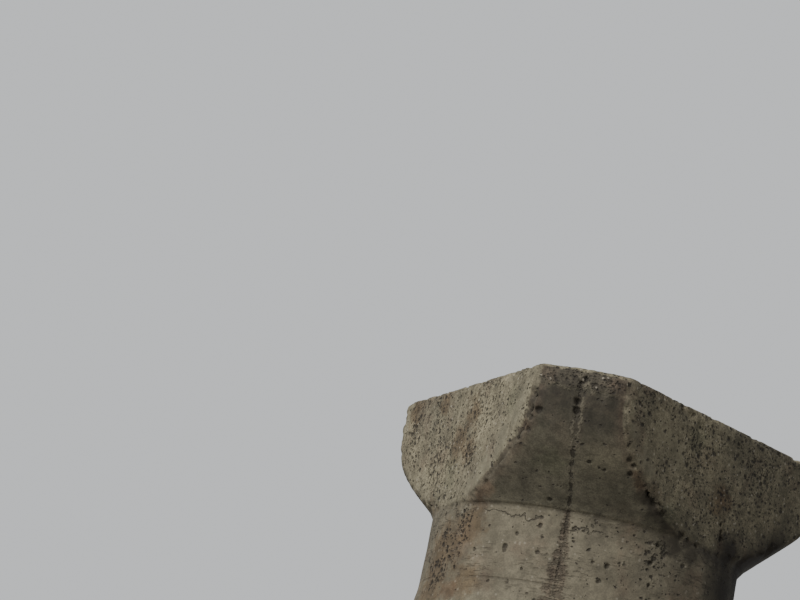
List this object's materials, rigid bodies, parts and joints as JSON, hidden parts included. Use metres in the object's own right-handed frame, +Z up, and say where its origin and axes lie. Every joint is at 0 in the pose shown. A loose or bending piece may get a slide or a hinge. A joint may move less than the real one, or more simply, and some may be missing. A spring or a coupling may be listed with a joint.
{
  "type": "concrete tetrapod armour unit",
  "caption": "Four-legged concrete armour unit for breakwaters: round tapered legs from one hub, each ending in a flared three-cornered head with a flat end.",
  "frame": {"origin": "middle of the hub, where the axes of the four legs meet, which is the unit's centroid", "axes": "+Z up along the upright leg; -Y over the front lower leg; the other two lower legs head 30 and 150 degrees from +X"},
  "size_m": [3.309, 3.1454, 2.7091],
  "materials": {
    "concrete": "weathered cast concrete: matt, pitted, with mould seams and stains"
  },
  "bodies": {
    "root": {"tetrapod": "concrete"}
  },
  "joints": []
}
